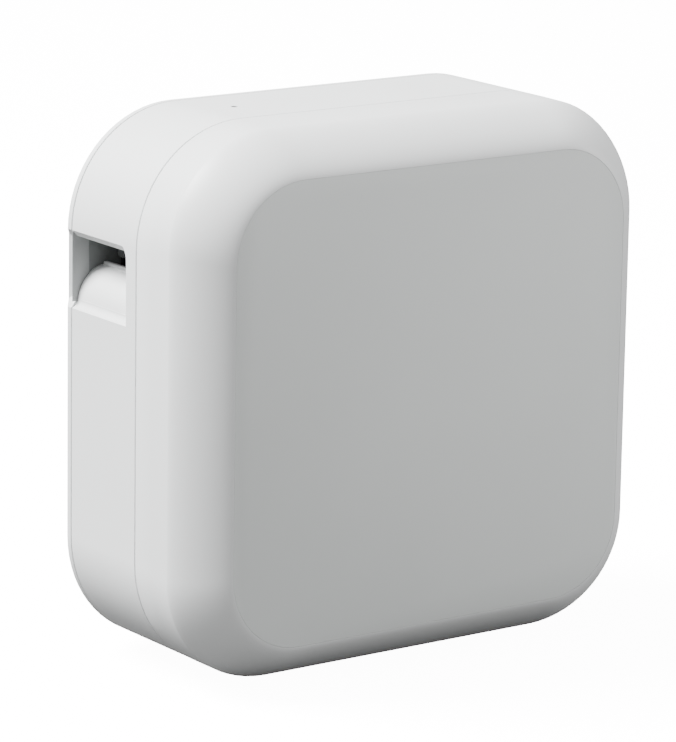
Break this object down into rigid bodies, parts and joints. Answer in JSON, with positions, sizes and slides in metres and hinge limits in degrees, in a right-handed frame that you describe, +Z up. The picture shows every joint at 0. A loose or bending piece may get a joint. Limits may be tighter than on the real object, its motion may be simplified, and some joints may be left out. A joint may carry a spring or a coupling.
{
  "type": "label maker",
  "caption": "Compact upright tape label maker with a sloped rim round a flush front panel, a side tape exit with a cutter lever and a removable back cover.",
  "frame": {"origin": "centre of the footprint, on the surface that the rubber feet stand on", "axes": "+X to the right seen from the front, the front panel faces -Y, +Z up"},
  "size_m": [0.115, 0.061, 0.115],
  "materials": {
    "white_plastic": "fine spark-eroded satin",
    "panel_plastic": "fine matt",
    "rubber": "matt",
    "steel": "brushed",
    "blade_steel": "ground",
    "brass": "machined",
    "gear_plastic": "natural acetal",
    "frame_plastic": "satin black",
    "board": "solder mask",
    "black_plastic": "satin",
    "clear_plastic": "polished",
    "aluminium": "extruded",
    "ceramic": "glazed",
    "cassette_plastic": "satin",
    "tape": "laminated film",
    "film": "film",
    "cell_label": "printed sleeve",
    "spring_steel": "nickel plated",
    "shield": "tinned",
    "cable": "flexible",
    "lead_sleeve": "satin"
  },
  "bodies": {
    "case": {"front_shell": "white_plastic", "front_panel": "panel_plastic", "middle_shell": "white_plastic", "chassis_plate": "frame_plastic", "rubber_feet": "rubber", "lever_pin": "steel", "lever_spring": "spring_steel", "cutter_frame": "steel", "guide_rods": "steel", "fixed_blade": "blade_steel", "motor": "steel", "gear_axles": "steel", "motor_bracket": "steel", "bracket_screws": "steel", "head_sink": "aluminium", "print_head": "ceramic", "head_cable": "cable", "holder_pin": "steel", "battery_springs": "spring_steel", "battery_plates": "spring_steel", "battery_cells": "cell_label", "main_board": "board", "board_chips": "black_plastic", "board_capacitors": "shield", "radio_module": "shield", "board_screws": "steel", "case_screws": "steel", "button_spring": "spring_steel", "power_switch": "black_plastic", "switch_board": "board", "dc_inlet": "black_plastic", "inlet_pin": "brass", "light_pipe": "clear_plastic", "light_board": "board", "status_light": "clear_plastic", "motor_leads": "lead_sleeve", "lead_connector": "cable"},
    "cover": {"back_cover": "white_plastic"},
    "latch": {"cover_latch": "white_plastic"},
    "lever": {"cutter_lever": "white_plastic"},
    "carriage": {"cutter_carriage": "black_plastic", "cutter_blade": "blade_steel"},
    "button": {"power_button": "white_plastic"},
    "motor_rotor": {"motor_shaft": "steel", "motor_pinion": "brass"},
    "reduction": {"reduction_gear": "gear_plastic"},
    "idler": {"idler_gear": "gear_plastic"},
    "ribbon_spindle": {"ribbon_drive": "gear_plastic"},
    "holder": {"platen_holder": "black_plastic"},
    "platen": {"platen_roller": "rubber", "platen_shaft": "steel", "platen_gear": "gear_plastic"},
    "cassette": {"cassette_base": "cassette_plastic", "cassette_lid": "cassette_plastic", "tape_strip": "tape"},
    "tape_spool": {"tape_roll": "tape"},
    "film_spool": {"film_roll": "film"},
    "takeup": {"takeup_spool": "black_plastic"}
  },
  "joints": [
    {"name": "cover_slide", "type": "slide", "parent": "case", "child": "cover", "axis": [0, 1, 0], "range_m": [0, 0.05]},
    {"name": "latch_press", "type": "slide", "parent": "cover", "child": "latch", "axis": [0, 0, -1], "range_m": [0, 0.0015], "stiffness_N_per_m": 400},
    {"name": "cassette_slide", "type": "slide", "parent": "case", "child": "cassette", "axis": [0, 1, 0], "range_m": [0, 0.02]},
    {"name": "lever_swing", "type": "hinge", "parent": "case", "child": "lever", "pos_m": [-0.0487, 0.005, 0.0754], "axis": [0, -1, 0], "range_deg": [0, 30], "stiffness_Nm_per_rad": 0.03, "deforming": ["lever_spring"]},
    {"name": "carriage_slide", "type": "slide", "parent": "case", "child": "carriage", "axis": [0, 0, 1], "range_m": [0, 0.00314]},
    {"name": "button_press", "type": "slide", "parent": "case", "child": "button", "axis": [-1, 0, 0], "range_m": [0, 0.0008], "stiffness_N_per_m": 500, "deforming": ["button_spring"]},
    {"name": "motor_spin", "type": "hinge", "parent": "case", "child": "motor_rotor", "pos_m": [-0.015, 0.005, 0.06035], "axis": [0, 1, 0], "continuous": true},
    {"name": "reduction_spin", "type": "hinge", "parent": "case", "child": "reduction", "pos_m": [-0.02918, 0.005, 0.06285], "axis": [0, 1, 0], "continuous": true},
    {"name": "idler_spin", "type": "hinge", "parent": "case", "child": "idler", "pos_m": [-0.0326, 0.005, 0.0756], "axis": [0, 1, 0], "continuous": true},
    {"name": "ribbon_spin", "type": "hinge", "parent": "case", "child": "ribbon_spindle", "pos_m": [-0.01412, 0.005, 0.07349], "axis": [0, 1, 0], "continuous": true},
    {"name": "holder_swing", "type": "hinge", "parent": "case", "child": "holder", "pos_m": [-0.008, 0.005, 0.092], "axis": [0, 1, 0], "range_deg": [0, 5]},
    {"name": "platen_spin", "type": "hinge", "parent": "holder", "child": "platen", "pos_m": [-0.0326, 0.005, 0.09], "axis": [0, 1, 0], "continuous": true},
    {"name": "tape_spool_spin", "type": "hinge", "parent": "cassette", "child": "tape_spool", "pos_m": [0.0135, 0.005, 0.0604], "axis": [0, 1, 0], "continuous": true},
    {"name": "film_spool_spin", "type": "hinge", "parent": "cassette", "child": "film_spool", "pos_m": [-0.02, 0.005, 0.0489], "axis": [0, 1, 0], "continuous": true},
    {"name": "takeup_spin", "type": "hinge", "parent": "cassette", "child": "takeup", "pos_m": [-0.01412, 0.005, 0.07349], "axis": [0, 1, 0], "continuous": true}
  ],
  "couplings": [
    {"joint": "cassette_slide", "follows": "cover_slide", "ratio": 0.4},
    {"joint": "holder_swing", "follows": "cover_slide", "rad_per_m": 1.7418},
    {"joint": "lever_swing", "follows": "carriage_slide", "rad_per_m": 155.39},
    {"joint": "reduction_spin", "follows": "motor_spin", "ratio": -0.33333},
    {"joint": "idler_spin", "follows": "motor_spin", "ratio": 0.15556},
    {"joint": "platen_spin", "follows": "motor_spin", "ratio": -0.25926},
    {"joint": "ribbon_spin", "follows": "motor_spin", "ratio": -0.14583},
    {"joint": "takeup_spin", "follows": "motor_spin", "ratio": -0.14583},
    {"joint": "tape_spool_spin", "follows": "motor_spin", "ratio": 0.054444},
    {"joint": "film_spool_spin", "follows": "motor_spin", "ratio": 0.10889}
  ]
}
